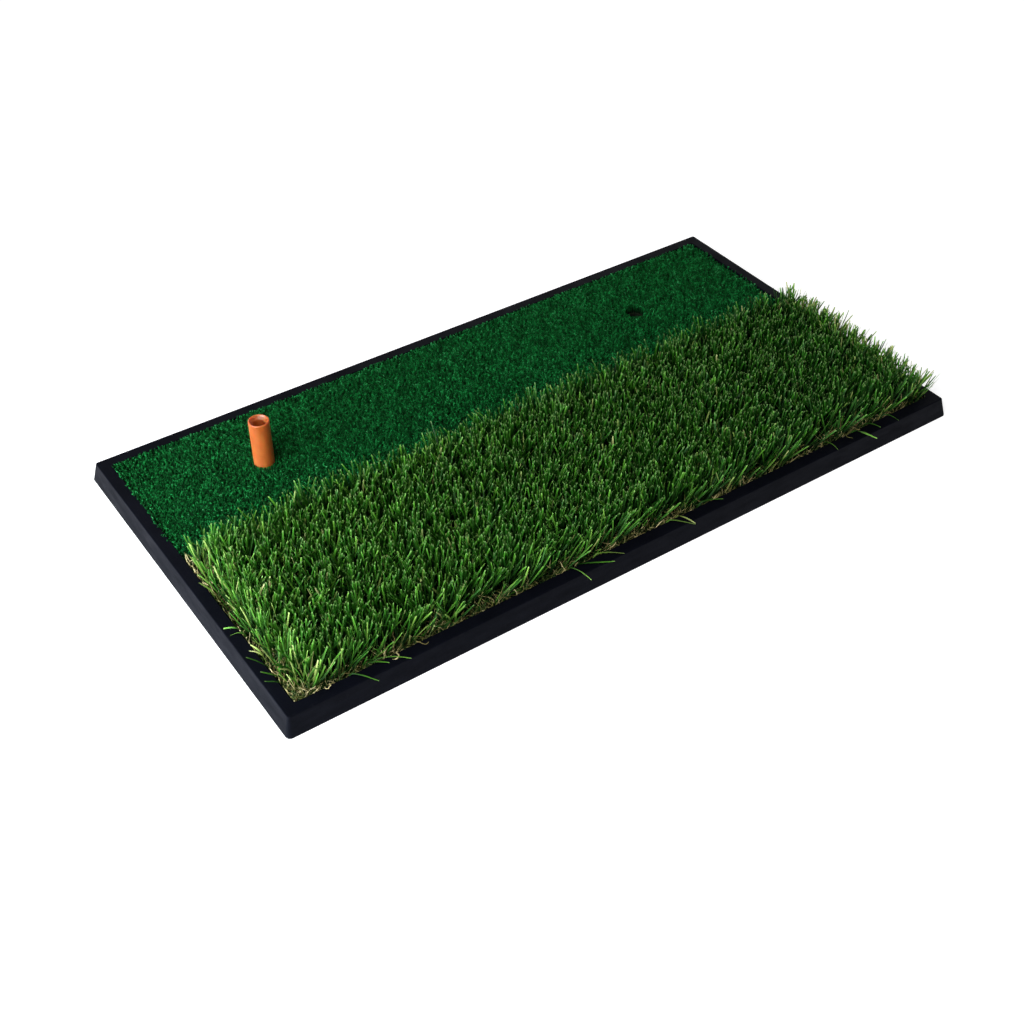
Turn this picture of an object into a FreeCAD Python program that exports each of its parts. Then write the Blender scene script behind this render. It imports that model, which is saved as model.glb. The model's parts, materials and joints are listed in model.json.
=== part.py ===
"""Golf hitting mat: a moulded rubber tray that holds two strips of artificial turf and a rubber tee.

Millimetres. X runs along the mat's length, which is also the line of the swing. -Y is the side with
the long rough turf, +Y the side with the short fairway turf, and +Z is up. The origin is the centre
of the underside, on the surface that the mat lies on.

Each turf strip is built up from the tray's floor as glue, latex coat, woven backing and pile.
The tee is one flanged rubber tube, pushed up from below through one of two holes. It is split at the
height where it bends, so that its upper length can turn on the lower one.
"""

import FreeCAD, Part  # noqa: E401, I001
import math
import os

Vector = FreeCAD.Vector

# Tray
tray_length = 617.9
tray_width = 327.9
tray_height = 16.5
side_draft = 4.0
rim_width = 10.0
tray_floor = 5.5
bottom_corner_radius = 4.0
top_corner_radius = 2.0
pocket_corner_radius = 2.0
rim_edge_round = 0.8
foot_edge_round = 0.6

# Grip grooves moulded into the underside, in rows along X
groove_width = 3.0
groove_depth = 1.0
groove_length = 118.0
groove_columns = 4
groove_pitch_x = 136.0
groove_rows = 13
groove_pitch_y = 22.0

# Turf strips, built up from the tray's floor
turf_gap = 0.5
seam_y = 16.0
glue_thickness = 0.4
latex_thickness = 1.2
backing_thickness = 0.8
fairway_top = 16.5
thatch_top = 17.0
rough_top = 38.0
rough_splay = 6.0
rough_overhang = 3.0

# Tee and the two holes that it fits
tee_x = -194.5
tee_y = 87.0
spare_x = 178.0
spare_y = 89.5
tee_height = 56.2
tee_radius = 8.2
tee_wall = 3.2
tee_cup_radius = 6.9
tee_cup_depth = 2.2
tee_rim_round = 0.5
flange_radius = 19.0
flange_thickness = 2.8
flange_chamfer = 0.6
hole_clearance = 0.3
recess_radius = 20.0
recess_depth = 3.0

# Where the tee bends, and how far each way
flex_height = 27.0
flex_angle = 45.0
flex_gap = 0.3

pocket_length = tray_length - 2 * (side_draft + rim_width)
pocket_width = tray_width - 2 * (side_draft + rim_width)
latex_bottom = tray_floor + glue_thickness
backing_bottom = latex_bottom + latex_thickness
pile_bottom = backing_bottom + backing_thickness
hole_radius = tee_radius + hole_clearance
hole_places = [(tee_x, tee_y), (spare_x, spare_y)]
turf_left = turf_gap - pocket_length / 2
turf_right = pocket_length / 2 - turf_gap
turf_front = turf_gap - pocket_width / 2
turf_back = pocket_width / 2 - turf_gap


def rounded_rectangle(length, width, radius, z):
    """A closed wire centred on the Z axis, with four straight sides and four arcs."""
    x = length / 2
    y = width / 2
    near = radius * (1 - math.cos(math.pi / 4))
    corners = [(x, y), (-x, y), (-x, -y), (x, -y)]
    edges = []
    for i, (cx, cy) in enumerate(corners):
        sx = math.copysign(1, cx)
        sy = math.copysign(1, cy)
        on_x_side = Vector(cx, cy - sy * radius, z)
        on_y_side = Vector(cx - sx * radius, cy, z)
        middle = Vector(cx - sx * near, cy - sy * near, z)
        ends = (on_x_side, on_y_side) if i % 2 == 0 else (on_y_side, on_x_side)
        if edges:
            edges.append(Part.LineSegment(last, ends[0]).toShape())
        else:
            first = ends[0]
        edges.append(Part.Arc(ends[0], middle, ends[1]).toShape())
        last = ends[1]
    edges.append(Part.LineSegment(last, first).toShape())
    return Part.Wire(edges)


def slab(x0, x1, y0, y1, z0, z1):
    """A plain box between two corners."""
    return Part.makeBox(x1 - x0, y1 - y0, z1 - z0, Vector(x0, y0, z0))


def round_hole(place, radius, z0, z1):
    """A cylinder to cut away, from z0 up to z1."""
    return Part.makeCylinder(radius, z1 - z0, Vector(place[0], place[1], z0))


def edges_at(shape, z, inside):
    """The edges that lie in the plane at height z, wholly inside or outside the pocket's outline."""
    limit_x = pocket_length / 2 + rim_width / 2
    limit_y = pocket_width / 2 + rim_width / 2
    found = []
    for edge in shape.Edges:
        box = edge.BoundBox
        if abs(box.ZMin - z) > 0.01 or abs(box.ZMax - z) > 0.01:
            continue
        within = max(abs(box.XMin), abs(box.XMax)) < limit_x
        within = within and max(abs(box.YMin), abs(box.YMax)) < limit_y
        if within == inside:
            found.append(edge)
    return found


def tray_body():
    """The drafted outer block with its rounded corners and the pocket sunk into it."""
    foot = rounded_rectangle(tray_length, tray_width, bottom_corner_radius, 0)
    top_length = tray_length - 2 * side_draft
    top_width = tray_width - 2 * side_draft
    rim = rounded_rectangle(top_length, top_width, top_corner_radius, tray_height)
    block = Part.makeLoft([foot, rim], True, True)
    outline = rounded_rectangle(pocket_length, pocket_width, pocket_corner_radius, tray_floor)
    pocket = Part.Face(outline).extrude(Vector(0, 0, tray_height))
    body = block.cut(pocket)
    rim_edges = edges_at(body, tray_height, False) + edges_at(body, tray_height, True)
    body = body.makeFillet(rim_edge_round, rim_edges)
    return body.makeFillet(foot_edge_round, edges_at(body, 0, False))


def grip_grooves():
    """The grooves under the tray, leaving out those that would run into a tee's recess."""
    grooves = []
    for column in range(groove_columns):
        x = (column - (groove_columns - 1) / 2) * groove_pitch_x
        for row in range(groove_rows):
            y = (row - (groove_rows - 1) / 2) * groove_pitch_y
            near = [
                abs(y - place[1]) < recess_radius + groove_width
                and abs(x - place[0]) < recess_radius + groove_width + groove_length / 2
                for place in hole_places
            ]
            if not any(near):
                half = groove_length / 2
                side = groove_width / 2
                grooves.append(slab(x - half, x + half, y - side, y + side, 0, groove_depth))
    return Part.Compound(grooves)


def base_tray():
    """The moulded rubber tray, with its two tee holes and the recess for a tee's flange under each."""
    tray = tray_body().cut(grip_grooves())
    for place in hole_places:
        tray = tray.cut(round_hole(place, hole_radius, 0, tray_floor))
        tray = tray.cut(round_hole(place, recess_radius, 0, recess_depth))
    return tray


def fairway_layer(z0, z1):
    """One layer of the short turf strip, with both tee holes cut through it."""
    layer = slab(turf_left, turf_right, seam_y, turf_back, z0, z1)
    for place in hole_places:
        layer = layer.cut(round_hole(place, hole_radius, z0, z1))
    return layer


def rough_layer(z0, z1):
    """One layer of the long turf strip."""
    return slab(turf_left, turf_right, turf_front, seam_y, z0, z1)


def rough_blades():
    """The standing blades above the thatch, which lean outwards over the rim and the short turf."""
    wires = []
    for z, out, over in [(thatch_top, 0, 0), (rough_top, rough_splay, rough_overhang)]:
        x0 = turf_left - out
        x1 = turf_right + out
        y0 = turf_front - out
        y1 = seam_y + over
        corners = [Vector(x0, y0, z), Vector(x1, y0, z), Vector(x1, y1, z), Vector(x0, y1, z)]
        wires.append(Part.makePolygon(corners + corners[:1]))
    return Part.makeLoft(wires, True, True)


def turned(points):
    """The solid made by turning a closed (radius, height) outline about the tee's own axis."""
    outline = [Vector(tee_x + r, tee_y, z) for r, z in points]
    face = Part.Face(Part.makePolygon(outline + outline[:1]))
    return face.revolve(Vector(tee_x, tee_y, 0), Vector(0, 0, 1), 360)


def flex_relief(radius):
    """How far a tube's end lies from the bending height, so that it clears the other at full bend."""
    return flex_gap / 2 + radius * math.tan(math.radians(flex_angle / 2))


def tee_base():
    """The tee's flange and the lower length of its tube."""
    bore = tee_radius - tee_wall
    points = [
        (bore, 0),
        (flange_radius - flange_chamfer, 0),
        (flange_radius, flange_chamfer),
        (flange_radius, flange_thickness - flange_chamfer),
        (flange_radius - flange_chamfer, flange_thickness),
        (tee_radius, flange_thickness),
        (tee_radius, flex_height - flex_relief(tee_radius)),
        (bore, flex_height - flex_relief(bore)),
    ]
    return turned(points)


def tee_stem():
    """The upper length of the tee's tube, with the cup at its top that the ball rests in."""
    bore = tee_radius - tee_wall
    points = [
        (bore, flex_height + flex_relief(bore)),
        (tee_radius, flex_height + flex_relief(tee_radius)),
        (tee_radius, tee_height - tee_rim_round),
        (tee_radius - tee_rim_round, tee_height),
        (tee_cup_radius, tee_height),
        (bore, tee_height - tee_cup_depth),
    ]
    return turned(points)


def check(name, shape):
    """Stops with a message unless the shape is one sound solid."""
    if not shape.isValid() or len(shape.Solids) != 1:
        raise ValueError(f"{name} is not one valid solid")
    box = shape.BoundBox
    size = f"{box.XLength:.1f} x {box.YLength:.1f} x {box.ZLength:.1f}"
    print(f"{name}: {size} mm, {shape.Volume / 1000:.1f} cm3, z {box.ZMin:.1f} to {box.ZMax:.1f}")


def main():
    nodes = {
        "base_tray": base_tray(),
        "fairway_adhesive": fairway_layer(tray_floor, latex_bottom),
        "fairway_latex_coat": fairway_layer(latex_bottom, backing_bottom),
        "fairway_backing": fairway_layer(backing_bottom, pile_bottom),
        "fairway_pile": fairway_layer(pile_bottom, fairway_top),
        "rough_adhesive": rough_layer(tray_floor, latex_bottom),
        "rough_latex_coat": rough_layer(latex_bottom, backing_bottom),
        "rough_backing": rough_layer(backing_bottom, pile_bottom),
        "rough_thatch": rough_layer(pile_bottom, thatch_top),
        "rough_blades": rough_blades(),
        "tee_base": tee_base(),
        "tee_stem": tee_stem(),
    }
    os.makedirs("parts", exist_ok=True)
    for name, shape in nodes.items():
        shape = shape.Solids[0] if len(shape.Solids) == 1 else shape
        check(name, shape)
        shape.exportStep(f"parts/{name}.step")


main()
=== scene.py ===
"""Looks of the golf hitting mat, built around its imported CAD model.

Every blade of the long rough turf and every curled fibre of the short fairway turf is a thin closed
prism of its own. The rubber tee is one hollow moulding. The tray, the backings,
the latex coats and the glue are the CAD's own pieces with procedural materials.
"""

import json
import math

import bpy
import numpy as np
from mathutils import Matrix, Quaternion, Vector


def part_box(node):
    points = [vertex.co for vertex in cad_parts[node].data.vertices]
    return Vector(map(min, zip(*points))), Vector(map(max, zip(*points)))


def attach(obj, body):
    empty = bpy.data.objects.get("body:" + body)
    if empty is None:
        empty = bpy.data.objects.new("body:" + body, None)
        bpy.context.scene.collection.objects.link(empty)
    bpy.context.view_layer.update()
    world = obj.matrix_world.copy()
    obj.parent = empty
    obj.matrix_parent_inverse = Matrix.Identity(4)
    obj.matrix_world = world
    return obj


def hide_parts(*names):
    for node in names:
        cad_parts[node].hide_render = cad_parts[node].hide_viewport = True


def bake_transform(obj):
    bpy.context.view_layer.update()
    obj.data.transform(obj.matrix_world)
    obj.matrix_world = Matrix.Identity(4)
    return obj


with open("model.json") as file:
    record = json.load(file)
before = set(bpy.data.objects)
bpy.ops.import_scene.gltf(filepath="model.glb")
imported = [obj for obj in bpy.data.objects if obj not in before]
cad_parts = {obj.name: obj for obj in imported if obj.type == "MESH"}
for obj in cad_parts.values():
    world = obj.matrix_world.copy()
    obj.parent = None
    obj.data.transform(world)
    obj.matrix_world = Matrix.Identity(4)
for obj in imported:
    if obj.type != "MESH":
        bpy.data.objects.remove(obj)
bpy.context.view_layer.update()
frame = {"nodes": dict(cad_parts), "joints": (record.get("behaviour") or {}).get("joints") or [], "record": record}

MM = 0.001
SEED = 20261117

# Heights and outlines come from the CAD nodes, in metres.
TRAY_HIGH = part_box("base_tray")[1]
FAIRWAY_LOW, FAIRWAY_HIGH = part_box("fairway_pile")
THATCH_LOW, THATCH_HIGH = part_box("rough_thatch")
FOOT_LOW, FOOT_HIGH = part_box("tee_base")
STEM_LOW, STEM_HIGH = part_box("tee_stem")
JOINTS = {joint["name"]: joint for joint in frame["joints"]}
MOUNTS = {mount["name"]: mount for mount in frame["record"]["mounts"]}
TEE_PIVOT = Vector(JOINTS["tee_flex"]["pos_m"])
SPARE_HOLE = Vector(MOUNTS["spare_tee_hole"]["pos_m"])
HOLE_RADIUS = MOUNTS["spare_tee_hole"]["dims"]["r_mm"] * MM
TEE_RADIUS = (STEM_HIGH.x - STEM_LOW.x) / 2
FLANGE_RADIUS = (FOOT_HIGH.x - FOOT_LOW.x) / 2
CUP_RADIUS = MOUNTS["ball_seat"]["dims"]["r_mm"] * MM

# The pocket's walls stand half a millimetre outside the turf strips.
WALL_X = FAIRWAY_HIGH.x + 0.5 * MM
WALL_Y = FAIRWAY_HIGH.y + 0.5 * MM
SEAM_Y = FAIRWAY_LOW.y

# Tee moulding
TEE_BORE = 5.0 * MM
FLANGE_THICKNESS = 2.8 * MM
CUP_DEPTH = 2.2 * MM
TEE_SIDES = 64

# Rough turf: tufts of blades, which differ from the rest within a band along the open edges
TUFT_PITCH_X = 5.2 * MM
TUFT_PITCH_Y = 7.6 * MM
BLADES_PER_TUFT = 7
BLADE_RINGS = 5
EDGE_BAND = 14 * MM
CLUMP_SIZE = 20 * MM
STRAW_SHARE = 0.03
ROUGH_BAYS = 4

# Thatch
THATCH_RINGS = 10
THATCH_BAYS = 2

# Fairway turf: single curled fibres, cut back from both holes
FIBRE_PITCH = 1.38 * MM
FIBRE_RINGS = 7
FIBRE_EDGE_BAND = 3 * MM
RING_FIBRES = 60
HOLE_GAP = 0.5 * MM
FAIRWAY_BAYS = 10

# Every strand takes its colour from one row of a palette, which its UVs lie in.
ROWS = 32
PALETTE_UV = "OFBake"

# The photograph's camera: where it looks, from which side and how far away.
CAMERA_TARGET = Vector((-58.7, -59.1, 0.0)) * MM
CAMERA_AZIMUTH = math.radians(-34.56)
CAMERA_ELEVATION = math.radians(40.93)
CAMERA_ROLL = math.radians(-0.12)
CAMERA_DISTANCE = 1.1263
CAMERA_LENS = 51.35

# The low side light is a little cooler than the rest.
COOL = (0.86, 0.96, 1.06)


# ---------------------------------------------------------------- stage

def direction(azimuth, elevation):
    """The unit vector towards a place seen at an azimuth from -Y and an elevation."""
    flat = math.cos(elevation)
    return Vector((math.sin(azimuth) * flat, -math.cos(azimuth) * flat, math.sin(elevation)))


def make_camera():
    """The camera that sees the mat as the photograph shows it."""
    data = bpy.data.cameras.new("camera")
    data.lens = CAMERA_LENS
    data.sensor_width = 36.0
    data.clip_start = 0.05
    data.clip_end = 50.0
    camera = bpy.data.objects.new("camera", data)
    bpy.context.scene.collection.objects.link(camera)
    back = direction(CAMERA_AZIMUTH, CAMERA_ELEVATION)
    camera.location = CAMERA_TARGET + back * CAMERA_DISTANCE
    camera.rotation_mode = "QUATERNION"
    roll = Quaternion((0, 0, 1), CAMERA_ROLL)
    camera.rotation_quaternion = (-back).to_track_quat("-Z", "Y") @ roll
    bpy.context.scene.camera = camera


def area_light(name, place, size, power, colour=(1.0, 1.0, 1.0)):
    """A soft rectangular light that faces the middle of the mat."""
    data = bpy.data.lights.new(name, "AREA")
    data.shape = "RECTANGLE"
    data.size, data.size_y = size
    data.energy = power
    data.color = colour
    light = bpy.data.objects.new(name, data)
    light.location = place
    light.rotation_mode = "QUATERNION"
    light.rotation_quaternion = (-Vector(place)).to_track_quat("-Z", "Y")
    bpy.context.scene.collection.objects.link(light)


def make_world():
    """A pale band around the horizon, under a dim ceiling."""
    world = bpy.data.worlds.new("studio")
    bpy.context.scene.world = world
    world.use_nodes = True
    tree = world.node_tree
    towards = tree.nodes.new("ShaderNodeTexCoord").outputs["Generated"]
    parts = tree.nodes.new("ShaderNodeSeparateXYZ")
    tree.links.new(towards, parts.inputs[0])
    ramp = tree.nodes.new("ShaderNodeValToRGB")
    tree.links.new(parts.outputs["Z"], ramp.inputs["Fac"])
    band, ceiling = ramp.color_ramp.elements
    band.position, band.color = 0.26, (0.87, 0.87, 0.87, 1.0)
    ceiling.position, ceiling.color = 0.45, (0.06, 0.06, 0.06, 1.0)
    background = tree.nodes["Background"]
    tree.links.new(ramp.outputs["Color"], background.inputs["Color"])
    background.inputs["Strength"].default_value = 1.0


def make_stage():
    """A plain pale floor and soft studio light, strongest from the tee's end and a little in front."""
    mesh = bpy.data.meshes.new("floor")
    reach = 12.0
    height = -0.2 * MM
    outline = [(-reach, -reach), (reach, -reach), (reach, reach), (-reach, reach)]
    corners = [(x, y, height) for x, y in outline]
    mesh.from_pydata(corners, [], [(0, 1, 2, 3)])
    floor = bpy.data.objects.new("floor", mesh)
    bpy.context.scene.collection.objects.link(floor)
    mesh.materials.append(floor_material())
    area_light("key", direction(math.radians(-60), math.radians(46)) * 1.5, (0.8, 0.8), 22)
    area_light("side", direction(math.radians(-87), math.radians(12)) * 0.85, (0.7, 0.22), 14, COOL)
    area_light("back", direction(math.radians(142), math.radians(30)) * 2.5, (1.6, 0.7), 8)
    make_world()
    bpy.context.scene.view_settings.view_transform = "Standard"


# ---------------------------------------------------------------- node helpers

class Nodes:
    """A material's node tree, with short calls for the nodes used here."""

    def __init__(self, name):
        self.material = bpy.data.materials.new(name)
        self.material.use_nodes = True
        self.tree = self.material.node_tree
        self.tree.nodes.clear()
        self.output = self.tree.nodes.new("ShaderNodeOutputMaterial")
        self.surface = self.tree.nodes.new("ShaderNodeBsdfPrincipled")
        self.link(self.surface.outputs["BSDF"], self.output.inputs["Surface"])

    def link(self, source, target):
        self.tree.links.new(source, target)

    def feed(self, target, value):
        """A constant or another node's output, into an input socket."""
        if isinstance(value, bpy.types.NodeSocket):
            self.link(value, target)
        elif isinstance(value, tuple) and len(value) == 3 and target.type == "RGBA":
            target.default_value = (*value, 1.0)
        else:
            target.default_value = value

    def position(self):
        return self.tree.nodes.new("ShaderNodeTexCoord").outputs["Object"]

    def uv(self, name):
        node = self.tree.nodes.new("ShaderNodeUVMap")
        node.uv_map = name
        return node.outputs["UV"]

    def stretched(self, vector, scale):
        node = self.tree.nodes.new("ShaderNodeMapping")
        self.link(vector, node.inputs["Vector"])
        node.inputs["Scale"].default_value = scale
        return node.outputs["Vector"]

    def noise(self, vector, scale, detail=3.0, roughness=0.5):
        node = self.tree.nodes.new("ShaderNodeTexNoise")
        self.link(vector, node.inputs["Vector"])
        node.inputs["Scale"].default_value = scale
        node.inputs["Detail"].default_value = detail
        node.inputs["Roughness"].default_value = roughness
        return node.outputs["Fac"]

    def parts(self, vector):
        node = self.tree.nodes.new("ShaderNodeSeparateXYZ")
        self.link(vector, node.inputs[0])
        return node.outputs

    def math(self, operation, a, b=0.0):
        node = self.tree.nodes.new("ShaderNodeMath")
        node.operation = operation
        self.feed(node.inputs[0], a)
        self.feed(node.inputs[1], b)
        return node.outputs[0]

    def range(self, value, low, high, to_low=0.0, to_high=1.0):
        node = self.tree.nodes.new("ShaderNodeMapRange")
        self.feed(node.inputs["Value"], value)
        node.inputs["From Min"].default_value = low
        node.inputs["From Max"].default_value = high
        node.inputs["To Min"].default_value = to_low
        node.inputs["To Max"].default_value = to_high
        return node.outputs[0]

    def ramp(self, value, stops):
        node = self.tree.nodes.new("ShaderNodeValToRGB")
        self.feed(node.inputs["Fac"], value)
        elements = node.color_ramp.elements
        while len(elements) < len(stops):
            elements.new(1.0)
        for element, (place, colour) in zip(elements, stops, strict=True):
            element.position = place
            element.color = (*colour, 1.0)
        return node.outputs["Color"]

    def mix(self, factor, a, b):
        node = self.tree.nodes.new("ShaderNodeMix")
        node.data_type = "RGBA"
        self.feed(node.inputs[0], factor)
        self.feed(node.inputs[6], a)
        self.feed(node.inputs[7], b)
        return node.outputs[2]

    def bump(self, height, distance, strength=1.0):
        node = self.tree.nodes.new("ShaderNodeBump")
        self.link(height, node.inputs["Height"])
        node.inputs["Distance"].default_value = distance
        node.inputs["Strength"].default_value = strength
        self.link(node.outputs["Normal"], self.surface.inputs["Normal"])

    def finish(self, colour, roughness, specular):
        self.feed(self.surface.inputs["Base Color"], colour)
        self.feed(self.surface.inputs["Roughness"], roughness)
        self.surface.inputs["Specular IOR Level"].default_value = specular
        return self.material


def floor_material():
    """A pale sheet that glows faintly, as a light table does, except under the mat, which is painted near-black as
    painted shade for the holes.
    """
    n = Nodes("pale_floor")
    place = n.position()
    x, y, _ = n.parts(place)
    beside = n.math("GREATER_THAN", n.math("ABSOLUTE", x), TRAY_HIGH.x - 8 * MM)
    beyond = n.math("GREATER_THAN", n.math("ABSOLUTE", y), TRAY_HIGH.y - 8 * MM)
    outside = n.math("MAXIMUM", beside, beyond)
    n.surface.inputs["Emission Color"].default_value = (1, 1, 1, 1)
    n.feed(n.surface.inputs["Emission Strength"], n.math("MULTIPLY", outside, 0.78))
    pale = n.ramp(n.noise(place, 3.0), [(0.0, (0.47, 0.47, 0.47)), (1.0, (0.50, 0.50, 0.50))])
    # Under the mat the floor is painted near-black: painted shade that shows through the holes.
    return n.finish(n.mix(outside, (0.004, 0.004, 0.004), pale), 0.9, 0.0)


# ---------------------------------------------------------------- materials

def tray_rubber():
    """Matte black moulded rubber, faintly blue, with drawn-out flow marks and dusty scuffs."""
    n = Nodes("tray_rubber")
    place = n.position()
    flow = n.noise(n.stretched(place, (1.0, 1.0, 5.0)), 38.0, 4.0, 0.6)
    dust = n.noise(place, 210.0, 3.0, 0.7)
    base = n.ramp(flow, [(0.30, (0.0008, 0.0009, 0.0022)), (0.75, (0.0020, 0.0022, 0.0046))])
    colour = n.mix(n.range(dust, 0.60, 0.80, 0.0, 0.35), base, (0.008, 0.008, 0.010))
    grain = n.noise(place, 1500.0, 2.0)
    n.bump(n.math("ADD", n.math("MULTIPLY", grain, 0.35), flow), 0.25 * MM, 0.5)
    n.surface.inputs["Specular Tint"].default_value = (0.80, 0.90, 1.0, 1.0)
    return n.finish(colour, n.range(flow, 0.3, 0.7, 0.68, 0.50), 0.052)


def tee_rubber():
    """Orange rubber with a faint bloom and fine mould grain."""
    n = Nodes("tee_rubber")
    place = n.position()
    cloud = n.noise(place, 120.0, 4.0, 0.6)
    colour = n.ramp(cloud, [(0.30, (0.275, 0.068, 0.0092)), (0.72, (0.345, 0.086, 0.0130))])
    grain = n.noise(place, 1800.0, 2.0)
    n.bump(n.math("ADD", grain, n.math("MULTIPLY", cloud, 0.8)), 0.15 * MM, 0.5)
    n.surface.inputs["Subsurface Weight"].default_value = 0.8
    n.surface.inputs["Subsurface Radius"].default_value = (1.0, 0.3, 0.12)
    n.surface.inputs["Subsurface Scale"].default_value = 7 * MM
    return n.finish(colour, n.range(cloud, 0.3, 0.7, 0.36, 0.52), 0.5)


def palette(n):
    """How far along its strand a point is, the strand's shade from 0 to 1 (its colour and any painted light), and
    where it is across.
    """
    along, across = n.parts(n.uv(PALETTE_UV))[:2]
    row = n.math("FLOOR", n.math("MULTIPLY", across, float(ROWS)))
    share = n.math("DIVIDE", row, float(ROWS - 1))
    return along, share, n.math("FRACT", n.math("MULTIPLY", across, float(ROWS)))


def rough_yarn():
    """Straight polyethylene blades: dark, mid and yellow-green, a few olive and straw, darkening to the foot as
    painted shade, with pale cut ends that are partly the cut yarn and partly a painted highlight.
    """
    n = Nodes("rough_yarn")
    along, share, across = palette(n)
    # The feet are far darker than the tips: painted shade for the depth of the turf between the blades.
    foot = n.ramp(share, [
        (0.00, (0.001, 0.007, 0.001)), (0.35, (0.002, 0.016, 0.001)), (0.65, (0.006, 0.034, 0.002)),
        (0.82, (0.022, 0.070, 0.006)), (0.92, (0.065, 0.130, 0.014)), (1.00, (0.170, 0.210, 0.050)),
    ])
    tip = n.ramp(share, [
        (0.00, (0.008, 0.060, 0.003)), (0.35, (0.024, 0.130, 0.007)), (0.65, (0.080, 0.258, 0.020)),
        (0.82, (0.182, 0.378, 0.048)), (0.92, (0.285, 0.405, 0.098)), (1.00, (0.420, 0.445, 0.180)),
    ])
    colour = n.mix(n.math("POWER", n.range(along, 0.35, 1.0), 1.5), foot, tip)
    # Pale cut ends: partly the cut yarn and partly a painted highlight.
    colour = n.mix(n.range(along, 0.93, 0.99, 0.0, 0.28), colour, (0.38, 0.51, 0.20))
    lines = n.math("SINE", n.math("MULTIPLY", across, 44.0))
    n.bump(lines, 0.03 * MM, 0.4)
    return n.finish(colour, n.range(along, 0.0, 1.0, 0.58, 0.42), 0.14)


def fairway_yarn():
    """Short curled yarn: deep bluish green with lighter crimps, darker towards the root as painted shade in the
    pile.
    """
    n = Nodes("fairway_yarn")
    along, share, _ = palette(n)
    shade = n.ramp(share, [
        (0.00, (0.001, 0.022, 0.004)), (0.50, (0.003, 0.100, 0.018)), (0.85, (0.014, 0.260, 0.055)),
        (1.00, (0.060, 0.360, 0.120)),
    ])
    # Darker towards the root: painted shade deep in the pile.
    colour = n.mix(n.range(along, 0.0, 0.8), (0.001, 0.014, 0.004), shade)
    crimp = n.math("SINE", n.math("MULTIPLY", along, 60.0))
    n.bump(crimp, 0.04 * MM, 0.4)
    return n.finish(colour, n.range(share, 0.0, 1.0, 0.64, 0.50), 0.06)


def thatch_yarn():
    """Curled thatch: straw, brown and dull green, darker towards the root as painted shade."""
    n = Nodes("thatch_yarn")
    along, share, _ = palette(n)
    shade = n.ramp(share, [
        (0.00, (0.004, 0.020, 0.002)), (0.35, (0.020, 0.050, 0.006)), (0.60, (0.085, 0.095, 0.020)),
        (0.82, (0.230, 0.190, 0.070)), (1.00, (0.450, 0.390, 0.190)),
    ])
    # Darker towards the root: painted shade deep in the thatch.
    colour = n.mix(n.range(along, 0.0, 0.45), (0.014, 0.016, 0.005), shade)
    n.bump(n.math("SINE", n.math("MULTIPLY", along, 80.0)), 0.04 * MM, 0.4)
    return n.finish(colour, n.range(share, 0.0, 1.0, 0.7, 0.5), 0.2)


def woven_backing():
    """Dark polypropylene tape cloth."""
    n = Nodes("woven_backing")
    x, y, _ = n.parts(n.position())
    pitch = 1.6 * MM
    warp = n.math("SINE", n.math("MULTIPLY", x, 2 * math.pi / pitch))
    weft = n.math("SINE", n.math("MULTIPLY", y, 2 * math.pi / pitch))
    weave = n.math("MULTIPLY", warp, weft)
    colour = n.ramp(n.range(weave, -1, 1), [(0.0, (0.004, 0.006, 0.003)), (1.0, (0.016, 0.024, 0.010))])
    n.bump(weave, 0.3 * MM, 0.8)
    return n.finish(colour, n.range(weave, -1, 1, 0.8, 0.6), 0.2)


def latex_coat():
    """Grey-green latex, mottled where it soaked in, and painted near-black as painted shade where it shows in the
    holes.
    """
    n = Nodes("latex")
    cloud = n.noise(n.position(), 90.0, 4.0)
    # Near-black: painted shade for where the latex shows in the holes.
    colour = n.ramp(cloud, [(0.3, (0.003, 0.004, 0.003)), (0.7, (0.007, 0.008, 0.006))])
    n.bump(cloud, 0.3 * MM, 0.6)
    return n.finish(colour, n.range(cloud, 0.3, 0.7, 0.65, 0.8), 0.2)


def glue_film():
    """Dark amber glue with trowel streaks, painted darker still as painted shade where it shows in the holes."""
    n = Nodes("adhesive")
    streak = n.noise(n.stretched(n.position(), (1.0, 9.0, 1.0)), 40.0, 3.0)
    # Very dark: painted shade for where the glue shows in the holes.
    colour = n.ramp(streak, [(0.3, (0.006, 0.004, 0.002)), (0.7, (0.011, 0.008, 0.004))])
    n.bump(streak, 0.2 * MM, 0.6)
    return n.finish(colour, n.range(streak, 0.3, 0.7, 0.35, 0.5), 0.35)


def dress_cad():
    """The CAD nodes that show, or that lie inside, get their materials."""
    backing, latex, glue = woven_backing(), latex_coat(), glue_film()
    dress = {"base_tray": tray_rubber()}
    for strip in ("fairway", "rough"):
        dress[f"{strip}_backing"] = backing
        dress[f"{strip}_latex_coat"] = latex
        dress[f"{strip}_adhesive"] = glue
    for node, material in dress.items():
        for slot in frame["nodes"][node].material_slots:
            slot.link = "OBJECT"
            slot.material = material


# ---------------------------------------------------------------- strands

def leaning(lean_x, lean_y):
    """Unit vectors from how far each strand leans towards X and Y, as tangents."""
    vectors = np.stack([lean_x, lean_y, np.ones_like(lean_x)], -1)
    return vectors / np.linalg.norm(vectors, axis=-1, keepdims=True)


def bowed_lines(roots, root_z, lengths, lean_x, lean_y, bow_x, bow_y, rings):
    """Strands that leave their roots at a lean and bow further over on the way up: (strand, ring, xyz)."""
    t = (np.arange(rings - 1) + 0.5) / (rings - 1)
    steps = leaning(lean_x[:, None] + bow_x[:, None] * t, lean_y[:, None] + bow_y[:, None] * t)
    steps *= (lengths / (rings - 1))[:, None, None]
    start = np.concatenate([roots, np.full((len(roots), 1), root_z)], 1)[:, None, :]
    return start + np.concatenate([np.zeros_like(start), np.cumsum(steps, 1)], 1)


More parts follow.
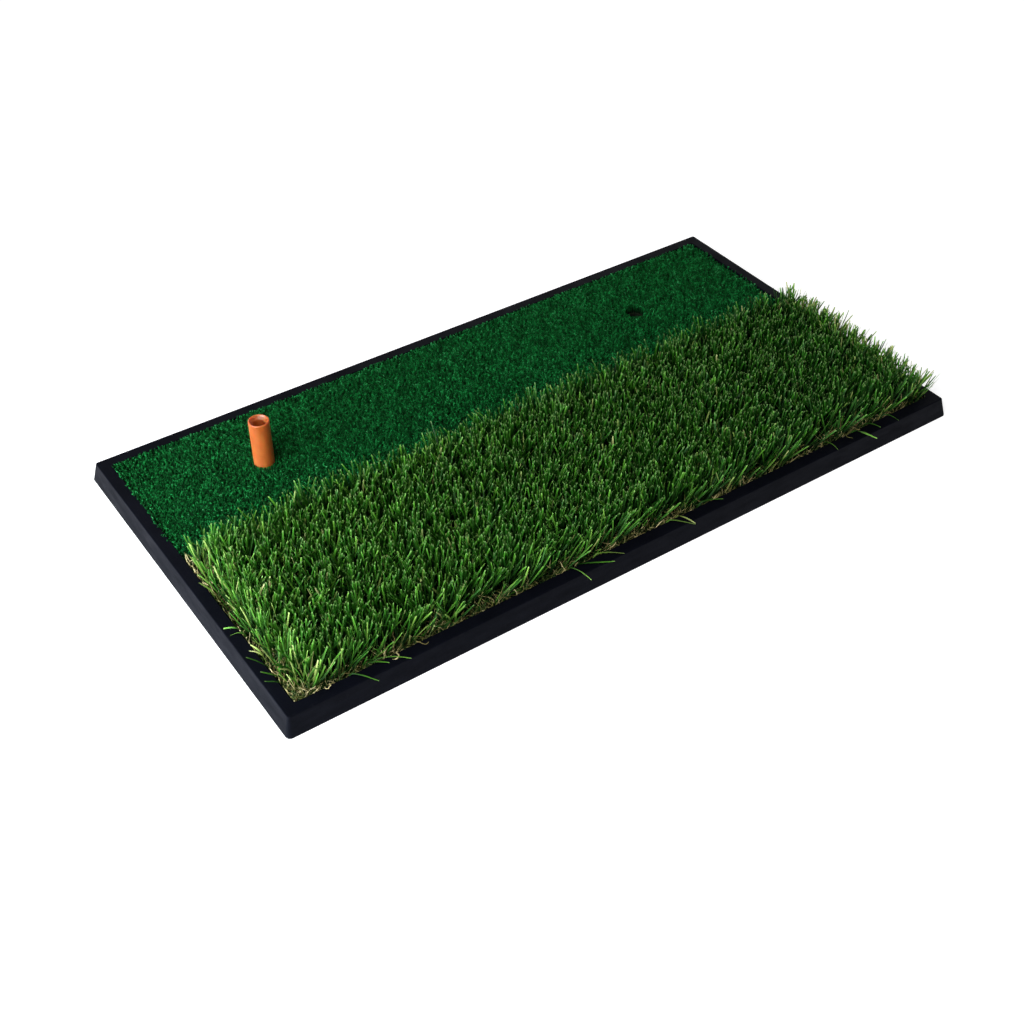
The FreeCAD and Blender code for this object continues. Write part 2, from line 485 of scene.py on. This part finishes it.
def curled_lines(rng, roots, root_z, heights, radius, turns, lean_x, lean_y, rings):
    """Strands that corkscrew upwards from their roots: (strand, ring, xyz)."""
    count = len(roots)
    t = np.linspace(0, 1, rings)
    phase = rng.uniform(0, 2 * math.pi, count)[:, None]
    hand = np.where(rng.random(count) < 0.5, -1, 1)
    angle = phase + (turns * hand)[:, None] * 2 * math.pi * t
    grow = radius[:, None] * np.minimum(t * 2.5, 1.0)
    rise = heights[:, None] * np.sin(t * 1.85)
    x = roots[:, 0:1] + grow * np.cos(angle) + lean_x[:, None] * rise
    y = roots[:, 1:2] + grow * np.sin(angle) + lean_y[:, None] * rise
    return np.stack([x, y, root_z + rise], -1)


def kinked_lines(rng, roots, root_z, lengths, lean_x, lean_y, kink, rings):
    """Strands that wander at random on the way up, as crimped yarn does: (strand, ring, xyz)."""
    shape = (len(roots), rings - 1)
    x = lean_x[:, None] + np.cumsum(rng.normal(0, kink, shape), 1)
    y = lean_y[:, None] + np.cumsum(rng.normal(0, kink, shape), 1)
    steps = leaning(x, y) * (lengths / (rings - 1))[:, None, None]
    start = np.concatenate([roots, np.full((len(roots), 1), root_z)], 1)[:, None, :]
    return start + np.concatenate([np.zeros_like(start), np.cumsum(steps, 1)], 1)


def fallen_lines(rng, places, root_z, arch, bend, kink, rings):
    """Strands that lie outwards over the rim, from (x mm, y mm, heading in degrees, length mm)."""
    shape = (len(places), rings - 1)
    t = np.linspace(0, 1, rings)
    heading = np.radians(places[:, 2:3]) + rng.normal(0, bend, (len(places), 1)) * t[1:]
    heading += np.cumsum(rng.normal(0, kink, shape), 1)
    step = places[:, 3:4] * MM * np.diff(t ** 1.3)
    x = np.cumsum(np.concatenate([places[:, 0:1] * MM, step * np.cos(heading)], 1), 1)
    y = np.cumsum(np.concatenate([places[:, 1:2] * MM, step * np.sin(heading)], 1), 1)
    climb = (TRAY_HIGH.z + 0.8 * MM - root_z) * np.minimum(4 * t, 1)
    z = root_z + climb + arch * rng.uniform(0.4, 1.0, (len(places), 1)) * np.sin(math.pi * t)
    return np.stack([x, y, z], -1)


def keep_in_pocket(lines, margin):
    """Holds strands between the pocket's walls."""
    lines[..., 0] = np.clip(lines[..., 0], margin - WALL_X, WALL_X - margin)
    lines[..., 1] = np.clip(lines[..., 1], margin - WALL_Y, SEAM_Y)


def rest_on_rim(lines, clearance):
    """Lifts whatever reaches past the pocket's walls, so that it lies on the tray's rim."""
    past = (np.abs(lines[..., 0]) > WALL_X) | (np.abs(lines[..., 1]) > WALL_Y)
    z = lines[..., 2]
    lines[..., 2] = np.where(past, np.maximum(z, TRAY_HIGH.z + clearance), z)


def keep_out_of_hole(lines, hole, radius):
    """Pushes strands sideways out of a round hole."""
    away = lines[..., :2] - np.array([hole.x, hole.y])
    distance = np.maximum(np.linalg.norm(away, axis=-1, keepdims=True), 1e-6)
    lines[..., :2] += away / distance * np.maximum(radius - distance, 0)


def strand_mesh(name, lines, widths, ridge, facing, twist, taper, shades, smooth):
    """Closed prisms of three sides along each centreline, cut off square at the tip.

    lines is (strand, ring, xyz). Each strand's UVs lie in the palette row of its shade: along the
    strand in U, across it in V.
    """
    count, rings = lines.shape[:2]
    along = np.gradient(lines, axis=1)
    along /= np.linalg.norm(along, axis=2, keepdims=True)
    t = np.linspace(0, 1, rings)
    angle = facing[:, None] + twist[:, None] * t
    side = np.stack([np.cos(angle), np.sin(angle), np.zeros_like(angle)], -1)
    side -= (side * along).sum(2, keepdims=True) * along
    side /= np.maximum(np.linalg.norm(side, axis=2, keepdims=True), 1e-9)
    half = (widths[:, None] / 2 * taper(t))[..., None]
    crest = lines + np.cross(along, side) * half * ridge
    corners = np.stack([lines - side * half, lines + side * half, crest], 2)

    quads = []
    for low in range(0, (rings - 1) * 3, 3):
        for a, b in ((0, 1), (1, 2), (2, 0)):
            quads += [low + a, low + b, low + 3 + b, low + 3 + a]
    last = (rings - 1) * 3
    caps = [2, 1, 0, last, last + 1, last + 2]
    base = (np.arange(count) * rings * 3)[:, None]
    loops = np.concatenate([base + np.array(quads), base + np.array(caps)], 1).ravel()
    sizes = np.tile([4] * (len(quads) // 4) + [3, 3], count)

    mesh = bpy.data.meshes.new(name)
    mesh.vertices.add(count * rings * 3)
    mesh.vertices.foreach_set("co", corners.astype(np.float32).ravel())
    mesh.loops.add(len(loops))
    mesh.loops.foreach_set("vertex_index", loops.astype(np.int32))
    mesh.polygons.add(len(sizes))
    mesh.polygons.foreach_set("loop_start", np.concatenate([[0], np.cumsum(sizes)[:-1]]).astype(np.int32))
    mesh.polygons.foreach_set("loop_total", sizes.astype(np.int32))
    mesh.update(calc_edges=True)
    if smooth:
        mesh.shade_smooth()
    else:
        mesh.shade_flat()

    # The UVs keep a little inside the palette's row, so that rows don't run into each other.
    across = np.tile([0.04, 0.96, 0.5], rings)
    u = np.broadcast_to(0.01 + 0.98 * np.repeat(t, 3), (count, rings * 3))
    v = (shades[:, None] + 0.06 + 0.88 * across) / ROWS
    coordinates = np.stack([u.ravel(), v.ravel()], -1)[loops]
    layer = mesh.uv_layers.new(name=PALETTE_UV)
    layer.data.foreach_set("uv", coordinates.astype(np.float32).ravel())
    obj = bpy.data.objects.new(name, mesh)
    bpy.context.scene.collection.objects.link(obj)
    return obj


def blade_taper(t):
    """Full width for most of the length, and a little narrower at the cut end."""
    return 1 - 0.4 * np.clip((t - 0.75) / 0.25, 0, 1)


def fibre_taper(t):
    """Full width for most of the length, and half of it at the end."""
    return 1 - 0.5 * np.clip((t - 0.8) / 0.2, 0, 1)


def stitches(rng, low, high, pitch_x, pitch_y, jitter):
    """Points on a jittered grid that fills a rectangle, as a tufting machine leaves them."""
    nx = max(1, round((high[0] - low[0]) / pitch_x))
    ny = max(1, round((high[1] - low[1]) / pitch_y))
    x = low[0] + (np.arange(nx) + 0.5) * (high[0] - low[0]) / nx
    y = low[1] + (np.arange(ny) + 0.5) * (high[1] - low[1]) / ny
    grid = np.stack(np.meshgrid(x, y, indexing="ij"), -1).reshape(-1, 2)
    return grid + rng.uniform(-jitter, jitter, grid.shape)


def patches(rng, points, cell):
    """A gentle random field from 0 to 1, for patches of taller or lighter turf."""
    waves = 14
    heading = rng.uniform(0, 2 * math.pi, waves)
    speed = rng.uniform(0.5, 1.5, waves) * 2 * math.pi / cell
    phase = rng.uniform(0, 2 * math.pi, waves)
    total = np.zeros(len(points))
    for h, s, p in zip(heading, speed, phase, strict=True):
        total += np.sin((points[:, 0] * math.cos(h) + points[:, 1] * math.sin(h)) * s + p)
    return np.clip(0.5 + total / (2.2 * math.sqrt(waves)), 0, 1)


def nearness(distance, reach):
    """1 at an edge, falling to 0 at a reach inside it."""
    return np.clip(1 - distance / reach, 0, 1)


def palette_rows(kind):
    """The palette's row for each strand, from its shade between 0 and 1."""
    return np.clip((kind * ROWS).astype(int), 0, ROWS - 1)


def place_piece(obj, material, node):
    """A piece of turf in its material, fixed to the mat in place of its CAD node."""
    obj.data.materials.append(material)
    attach(obj, "mat")
    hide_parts(node)


def bay_masks(x, bays, reach):
    """Splits strands by X into equal bays, so that no piece grows too heavy."""
    bay = np.clip(((x + reach) / (2 * reach) * bays).astype(int), 0, bays - 1)
    return [bay == i for i in range(bays)]


def fallen_places(rng, over_front, over_end, angles, lengths):
    """Random places for strands that lie out over the front rim and over the rim at the tee's end.

    Each is (x mm, y mm, heading in degrees, length mm). It starts just inside an edge of the turf and
    leaves it at an angle to the edge's own line.
    """
    count = over_front + over_end
    front = np.arange(count) < over_front
    inset = 1.5
    clear = 10.0
    end_x = THATCH_LOW.x / MM + inset
    front_y = THATCH_LOW.y / MM + inset
    x = np.where(front, rng.uniform(end_x + clear, THATCH_HIGH.x / MM - clear, count), end_x)
    y = np.where(front, front_y, rng.uniform(front_y + clear, SEAM_Y / MM, count))
    angle = rng.uniform(*angles, count)
    heading = np.where(front, -angle, 90 + angle)
    reach = np.where(front, 20.0, 9.0)
    length = np.minimum(rng.uniform(*lengths, count), reach / np.sin(np.radians(angle)))
    return np.stack([x, y, heading, length], -1)


def rough_tufts(rng, low, high):
    """The tufts of the long turf, with an extra row along the end where the blades hide the rim."""
    tufts = stitches(rng, low, high, TUFT_PITCH_X, TUFT_PITCH_Y, 1.9 * MM)
    row = stitches(rng, (high[0] - 6 * MM, low[1]), high, 3 * MM, 4.5 * MM, 1.5 * MM)
    tufts = np.clip(np.concatenate([tufts, row]), low, high)
    thin = rng.random(len(tufts)) < 0.6 * nearness(tufts[:, 1] - low[1], 9 * MM)
    return tufts[~thin]


class RoughEdges:
    """How near each root of the rough is to its open edges, from 0 to 1.

    The corner is the one between the tee's end and the fairway.
    """

    def __init__(self, roots, low, high):
        self.left = nearness(roots[:, 0] - low[0], EDGE_BAND)
        self.right = nearness(high[0] - roots[:, 0], EDGE_BAND)
        self.front = nearness(roots[:, 1] - low[1], EDGE_BAND)
        self.corner = nearness(roots[:, 0] - low[0], 30 * MM) * nearness(high[1] - roots[:, 1], 34 * MM)


def blade_leans(rng, roots, fan, near):
    """How far each blade leans, and bows further on its way up, towards X and Y, as tangents."""
    count = len(roots)
    tufts = count // BLADES_PER_TUFT
    clump_x = patches(rng, roots, CLUMP_SIZE) - 0.5
    clump_y = patches(rng, roots, CLUMP_SIZE) - 0.5
    spread = np.abs(rng.normal(0.24, 0.16, count))
    tuft_x = np.repeat(rng.normal(0, 0.16, tufts), BLADES_PER_TUFT)
    tuft_y = np.repeat(rng.normal(0, 0.16, tufts), BLADES_PER_TUFT)
    lean_x = spread * np.cos(fan) + tuft_x + 0.42 * clump_x
    lean_y = spread * np.sin(fan) + tuft_y + 0.42 * clump_y
    at_end = near.right * rng.normal(-0.05, 0.06, count)
    at_front = near.front * rng.uniform(0.1, 1.0, count)
    lean_x += 0.02 * near.left + at_end + at_front
    lean_x += 0.75 * near.corner
    lean_y += near.front * rng.normal(-0.02, 0.28, count) + near.left * rng.uniform(0.0, 0.5, count)
    wild = rng.random(count) < 0.08 + 0.20 * np.maximum(near.left, near.front)
    bow_x = rng.normal(0, 0.24, count) + np.where(wild, rng.normal(0, 0.8, count), 0) - 0.04 * near.left
    bow_y = rng.normal(0, 0.24, count) + np.where(wild, rng.normal(0, 0.5, count), 0)
    return lean_x, np.maximum(lean_y, -0.3), bow_x, np.maximum(bow_y, -0.35)


def blade_lengths(rng, roots, near):
    """Each blade's length, and which few blades are straw-coloured and shorter."""
    count = len(roots)
    lengths = (30.6 + 4.5 * patches(rng, roots, 26 * MM) + rng.normal(0, 1.0, count)) * MM
    straw = rng.random(count) < STRAW_SHARE
    lengths -= (1.5 * near.right + 5.0 * straw + 2.5 * near.corner) * MM
    short = rng.random(count) < 0.34 + 0.2 * near.front
    lengths *= np.where(short, rng.uniform(0.45, 0.92, count), 1.0)
    return lengths, straw


def blade_shades(rng, roots, near, straw, low, high):
    """Palette rows: darker away from the tee's end and paler along the open edges, both painted light that follows
    the lamps.
    """
    count = len(roots)
    kind = rng.beta(1.4, 2.2, count) * 0.80
    # Darker towards the far end: painted light, falling off away from the lamps at the tee's end.
    kind += 0.06 - 0.27 * (roots[:, 0] - low[0]) / (high[0] - low[0])
    # Paler along the tee's end and the front: painted light on edge blades that stand open to the lamps.
    kind += 0.28 * nearness(roots[:, 0] - low[0], 24 * MM) + 0.20 * near.front
    # Much paler at the far end's edge: painted light, shining through the blades from behind.
    kind += 0.85 * nearness(high[0] - roots[:, 0], 10 * MM)
    return palette_rows(np.where(straw, rng.uniform(0.86, 1.0, count), kind))


def make_rough():
    """The long turf: tufts of straight blades with cut ends, splayed outwards along the open edges."""
    rng = np.random.default_rng(SEED)
    low = (THATCH_LOW.x + 4.2 * MM, THATCH_LOW.y + 2.2 * MM)
    high = (THATCH_HIGH.x - 0.7 * MM, THATCH_HIGH.y - 1 * MM)
    tufts = rough_tufts(rng, low, high)
    count = len(tufts) * BLADES_PER_TUFT
    turn = np.tile(np.arange(BLADES_PER_TUFT) * 2 * math.pi / BLADES_PER_TUFT, len(tufts))
    fan = np.repeat(rng.uniform(0, 2 * math.pi, len(tufts)), BLADES_PER_TUFT)
    fan = fan + turn + rng.normal(0, 0.5, count)
    roots = np.repeat(tufts, BLADES_PER_TUFT, 0) + 0.8 * MM * np.stack([np.cos(fan), np.sin(fan)], -1)
    near = RoughEdges(roots, low, high)
    lean_x, lean_y, bow_x, bow_y = blade_leans(rng, roots, fan, near)
    lengths, straw = blade_lengths(rng, roots, near)
    lines = bowed_lines(roots, THATCH_LOW.z, lengths, lean_x, lean_y, bow_x, bow_y, BLADE_RINGS)
    rest_on_rim(lines, 0.5 * MM)
    widths = rng.uniform(1.1, 1.8, count) * MM * (1 - 0.28 * np.maximum(near.left, near.front))
    shades = blade_shades(rng, roots, near, straw, low, high)
    facing = rng.uniform(0, 2 * math.pi, count)
    twist = rng.normal(0, 0.7, count)
    material = rough_yarn()
    for i, mask in enumerate(bay_masks(roots[:, 0], ROUGH_BAYS, high[0])):
        piece = strand_mesh(
            f"rough_blades_{i + 1}", lines[mask], widths[mask], 0.45,
            facing[mask], twist[mask], blade_taper, shades[mask], smooth=False,
        )
        place_piece(piece, material, "rough_blades")
    places = fallen_places(rng, 14, 5, (5, 60), (12, 34))
    lines = fallen_lines(rng, places, THATCH_LOW.z, 4 * MM, 0.35, 0.02, 11)
    lay_strands(rng, "fallen_blades", lines, (1.0, 1.4), material, "rough_blades")


def lay_strands(rng, name, lines, widths, material, node):
    """The strands that lie out over the rim."""
    rest_on_rim(lines, 0.6 * MM)
    count = len(lines)
    piece = strand_mesh(
        name, lines, rng.uniform(*widths, count) * MM, 0.45, rng.uniform(0, 2 * math.pi, count),
        rng.normal(0, 0.5, count), blade_taper, palette_rows(rng.uniform(0.6, 1.0, count)), smooth=False,
    )
    place_piece(piece, material, node)


def make_thatch():
    """Crimped yarn between the blades' feet, thicker and paler where the strip is cut off, and darker inside as
    painted shade between the blades.
    """
    rng = np.random.default_rng(SEED + 2)
    low = (THATCH_LOW.x + 0.5 * MM, THATCH_LOW.y + 0.5 * MM)
    high = (THATCH_HIGH.x - 0.5 * MM, THATCH_HIGH.y - 0.5 * MM)
    inner = stitches(rng, low, high, 4.2 * MM, 4.6 * MM, 2.0 * MM)
    front = stitches(rng, low, (high[0], low[1] + 6 * MM), 1.5 * MM, 2.0 * MM, 1.2 * MM)
    side = stitches(rng, low, (low[0] + 5 * MM, high[1]), 2.5 * MM, 1.6 * MM, 1.2 * MM)
    corner = stitches(rng, low, (low[0] + 10 * MM, low[1] + 8 * MM), 1.2 * MM, 1.2 * MM, 1.0 * MM)
    roots = np.clip(np.concatenate([inner, front, side, corner]), low, high)
    count = len(roots)
    edge = np.arange(count) >= len(inner)
    clump = patches(rng, roots, 30 * MM)
    lengths = np.where(edge, rng.uniform(8, 17, count) + 8 * clump, rng.uniform(9, 18, count)) * MM
    lines = kinked_lines(
        rng, roots, THATCH_LOW.z, lengths,
        rng.normal(0.1, 0.4, count), rng.normal(0, 0.3, count), 0.55, THATCH_RINGS,
    )
    keep_in_pocket(lines, 0.4 * MM)
    widths = rng.uniform(0.5, 0.9, count) * MM
    # The thatch inside takes only the darker rows: painted shade between the blades.
    kind = np.where(edge, rng.beta(1.4, 1.4, count) * 0.85 + 0.5 * (clump - 0.22), rng.uniform(0, 0.6, count))
    shades = palette_rows(kind)
    material = thatch_yarn()
    facing = rng.uniform(0, 2 * math.pi, count)
    twist = rng.normal(0, 2.0, count)
    for i, mask in enumerate(bay_masks(roots[:, 0], THATCH_BAYS, high[0])):
        piece = strand_mesh(
            f"rough_thatch_{i + 1}", lines[mask], widths[mask], 0.8,
            facing[mask], twist[mask], fibre_taper, shades[mask], smooth=True,
        )
        place_piece(piece, material, "rough_thatch")
    places = fallen_places(rng, 8, 3, (60, 100), (8, 16))
    lines = fallen_lines(rng, places, THATCH_LOW.z, 2 * MM, 0.0, 0.6, 15)
    lay_strands(rng, "fallen_curls", lines, (0.6, 0.9), material, "rough_thatch")


def fairway_roots(rng, low, high):
    """The stitches of the short turf, with a close ring of them round each hole."""
    roots = np.clip(stitches(rng, low, high, FIBRE_PITCH, FIBRE_PITCH, 0.65 * MM), low, high)
    back = stitches(rng, (low[0], high[1] - 1.2 * MM), high, 1.3 * MM, 1.2 * MM, 0.5 * MM)
    roots = np.concatenate([roots, np.clip(back, low, high)])
    for hole in (TEE_PIVOT, SPARE_HOLE):
        away = np.hypot(roots[:, 0] - hole.x, roots[:, 1] - hole.y)
        angle = np.linspace(0, 2 * math.pi, RING_FIBRES, endpoint=False) + rng.normal(0, 0.02, RING_FIBRES)
        reach = HOLE_RADIUS + rng.uniform(0.5, 1.2, RING_FIBRES) * MM
        ring = np.stack([hole.x + reach * np.cos(angle), hole.y + reach * np.sin(angle)], -1)
        roots = np.concatenate([roots[away > HOLE_RADIUS + HOLE_GAP], ring])
    return roots


def fibre_shades(rng, roots, edge, low, high):
    """Palette rows: lighter along the rim, darker beside the rough as a painted shadow of its blades, and a few
    bright fibres.
    """
    count = len(roots)
    kind = rng.beta(1.3, 1.5, count) * 0.88 + 0.12 * (patches(rng, roots, 14 * MM) - 0.5)
    kind += 0.10 * edge + 0.05 * roots[:, 0] / high[0]
    # Darker beside the rough: a painted shadow of its blades on the short turf.
    kind -= 0.55 * nearness(roots[:, 1] - low[1], 14 * MM)
    bright = rng.random(count) < 0.012
    return palette_rows(np.where(bright, rng.uniform(0.86, 1.0, count), kind))


def make_fairway():
    """The short turf: dense curled fibres, level with the rim, that stay out of both holes."""
    rng = np.random.default_rng(SEED + 1)
    low = (FAIRWAY_LOW.x + 0.3 * MM, FAIRWAY_LOW.y + 0.3 * MM)
    high = (FAIRWAY_HIGH.x - 0.3 * MM, FAIRWAY_HIGH.y - 0.3 * MM)
    roots = fairway_roots(rng, low, high)
    count = len(roots)
    left = nearness(roots[:, 0] - low[0], FIBRE_EDGE_BAND)
    right = nearness(high[0] - roots[:, 0], FIBRE_EDGE_BAND)
    back = nearness(high[1] - roots[:, 1], FIBRE_EDGE_BAND)
    from_tee = np.hypot(roots[:, 0] - TEE_PIVOT.x, roots[:, 1] - TEE_PIVOT.y) - HOLE_RADIUS
    ring = np.minimum(2 * nearness(from_tee, 5 * MM), 1)
    loose = (1 - 0.9 * ring) * (1 - 0.5 * back)
    ragged = patches(rng, roots, 12 * MM)
    lean_x = rng.normal(0, 0.11, count) * loose + 0.04 * right - (0.02 + 0.22 * ragged) * left
    lean_y = rng.normal(0, 0.11, count) * loose + 0.08 * back
    growth = 0.89 + (0.13 * patches(rng, roots, 25 * MM) + rng.normal(0, 0.06, count)) * loose
    growth += 0.12 * back + (0.05 + 0.12 * ragged) * left - 0.03 * right
    growth += (1.05 - growth) * ring
    heights = (FAIRWAY_HIGH.z - FAIRWAY_LOW.z) * growth
    radius = rng.uniform(0.40, 1.0, count) * MM * loose
    lines = curled_lines(
        rng, roots, FAIRWAY_LOW.z, heights, radius, rng.uniform(0.8, 1.8, count), lean_x, lean_y, FIBRE_RINGS
    )
    rest_on_rim(lines, 0.4 * MM)
    for hole in (TEE_PIVOT, SPARE_HOLE):
        keep_out_of_hole(lines, hole, HOLE_RADIUS + HOLE_GAP)
    widths = rng.uniform(0.65, 1.0, count) * MM
    shades = fibre_shades(rng, roots, np.maximum(back, left), low, high)
    facing = rng.uniform(0, 2 * math.pi, count)
    twist = rng.normal(0, 1.0, count)
    material = fairway_yarn()
    for i, mask in enumerate(bay_masks(roots[:, 0], FAIRWAY_BAYS, high[0])):
        piece = strand_mesh(
            f"fairway_pile_{i + 1}", lines[mask], widths[mask], 0.9,
            facing[mask], twist[mask], fibre_taper, shades[mask], smooth=True,
        )
        place_piece(piece, material, "fairway_pile")


# ---------------------------------------------------------------- tee

def tee_outline():
    """The tee's closed section as (radius, height) points, from the bore's foot round to its mouth."""
    top = STEM_HIGH.z
    edge = 0.6 * MM
    points = [(TEE_BORE, 0.0), (FLANGE_RADIUS - edge, 0.0), (FLANGE_RADIUS, edge)]
    points += [(FLANGE_RADIUS, FLANGE_THICKNESS - edge), (FLANGE_RADIUS - edge, FLANGE_THICKNESS)]
    points += [(TEE_RADIUS + 0.25 * MM, FLANGE_THICKNESS), (TEE_RADIUS, FLANGE_THICKNESS + 0.25 * MM)]
    for height in np.linspace(FLANGE_THICKNESS + 1 * MM, top - 1.4 * MM, 40):
        points.append((TEE_RADIUS, float(height)))
    middle = (TEE_RADIUS + CUP_RADIUS) / 2
    half = (TEE_RADIUS - CUP_RADIUS) / 2
    for turn in np.linspace(0, math.pi, 7):
        points.append((middle + half * math.cos(turn), top - half + half * math.sin(turn)))
    for share in np.linspace(0.25, 1, 4):
        points.append((CUP_RADIUS + (TEE_BORE - CUP_RADIUS) * share, top - half - CUP_DEPTH * share ** 0.7))
    for height in np.linspace(top - 2 * CUP_DEPTH, 2 * MM, 30):
        points.append((TEE_BORE, float(height)))
    return points


def make_tee():
    """One hollow rubber moulding."""
    outline = tee_outline()
    angles = np.arange(TEE_SIDES) * 2 * math.pi / TEE_SIDES
    verts = [
        (TEE_PIVOT.x + r * math.cos(a), TEE_PIVOT.y + r * math.sin(a), z)
        for r, z in outline for a in angles
    ]
    faces = []
    rings = len(outline)
    for i in range(rings):
        j = (i + 1) % rings
        for k in range(TEE_SIDES):
            m = (k + 1) % TEE_SIDES
            faces.append((i * TEE_SIDES + k, i * TEE_SIDES + m, j * TEE_SIDES + m, j * TEE_SIDES + k))
    mesh = bpy.data.meshes.new("tee")
    mesh.from_pydata(verts, [], faces)
    mesh.update()
    mesh.shade_smooth()
    tee = bpy.data.objects.new("tee", mesh)
    bpy.context.scene.collection.objects.link(tee)
    tee.data.materials.append(tee_rubber())
    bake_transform(tee)
    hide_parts("tee_base", "tee_stem")


make_camera()
make_stage()
dress_cad()
make_fairway()
make_rough()
make_thatch()
make_tee()
